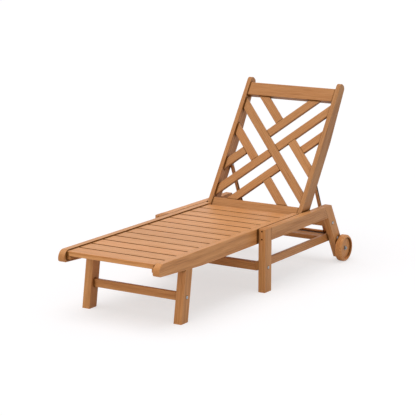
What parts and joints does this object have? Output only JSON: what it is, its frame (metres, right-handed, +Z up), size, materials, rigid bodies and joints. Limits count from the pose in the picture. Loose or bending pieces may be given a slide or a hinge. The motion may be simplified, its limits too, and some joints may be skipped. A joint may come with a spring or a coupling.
{
  "type": "chaise longue",
  "caption": "Slatted wooden sun lounger on splayed front legs and rear wheels, with a reclining lattice back held by a folding prop.",
  "frame": {"origin": "on the floor, under the middle of the bounding box of the rest pose, in which the back is raised", "axes": "+X to the right seen from the foot end, +Y from the foot end to the head end, +Z up"},
  "size_m": [0.737, 1.7953, 0.9492],
  "materials": {
    "teak": "oiled, satin, with edges eased",
    "steel": "satin stainless",
    "nylon": "matte"
  },
  "bodies": {
    "base": {"seat_rail_left": "teak", "seat_rail_right": "teak", "slat_cleat_left": "teak", "slat_cleat_right": "teak", "outer_rail_left": "teak", "outer_rail_right": "teak", "front_leg_left": "teak", "front_leg_right": "teak", "middle_leg_left": "teak", "middle_leg_right": "teak", "rear_leg_left": "teak", "rear_leg_right": "teak", "side_stretcher_left": "teak", "side_stretcher_right": "teak", "front_stretcher": "teak", "middle_stretcher": "teak", "rear_cross_rail": "teak", "prop_board": "teak", "slat_01": "teak", "slat_02": "teak", "slat_03": "teak", "slat_04": "teak", "slat_05": "teak", "slat_06": "teak", "slat_07": "teak", "slat_08": "teak", "slat_09": "teak", "slat_10": "teak", "slat_11": "teak", "slat_12": "teak", "slat_13": "teak", "frame_bolts": "steel", "barrel_nuts": "steel", "spacer_washers": "steel", "wood_screws": "steel", "hinge_pins": "steel", "axles": "steel", "axle_caps": "steel"},
    "back": {"back_stile_left": "teak", "back_stile_right": "teak", "back_top_rail": "teak", "back_bottom_rail": "teak", "lattice_main_falling": "teak", "lattice_main_rising": "teak", "lattice_top_rising": "teak", "lattice_top_falling": "teak", "lattice_left_falling": "teak", "lattice_left_rising": "teak", "lattice_bottom_rising": "teak", "lattice_bottom_falling": "teak", "lattice_right_falling": "teak", "lattice_right_rising": "teak", "prop_pivots": "steel"},
    "prop": {"prop_arm_left": "teak", "prop_arm_right": "teak", "prop_dowel": "teak"},
    "wheel_left": {"wheel_left": "teak", "wheel_bush_left": "nylon"},
    "wheel_right": {"wheel_right": "teak", "wheel_bush_right": "nylon"}
  },
  "joints": [
    {"name": "back_recline", "type": "hinge", "parent": "base", "child": "back", "pos_m": [0, 0.45535, 0.286], "axis": [1, 0, 0], "range_deg": [-56, 0]},
    {"name": "prop_swing", "type": "hinge", "parent": "back", "child": "prop", "pos_m": [0, 0.62121, 0.5015], "axis": [1, 0, 0], "range_deg": [0, 122]},
    {"name": "wheel_left_spin", "type": "hinge", "parent": "base", "child": "wheel_left", "pos_m": [-0.35075, 0.80195, 0.072], "axis": [1, 0, 0], "continuous": true},
    {"name": "wheel_right_spin", "type": "hinge", "parent": "base", "child": "wheel_right", "pos_m": [0.35075, 0.80195, 0.072], "axis": [1, 0, 0], "continuous": true}
  ],
  "couplings": [
    {"joint": "prop_swing", "follows": "back_recline", "ratio": -2.1735}
  ]
}
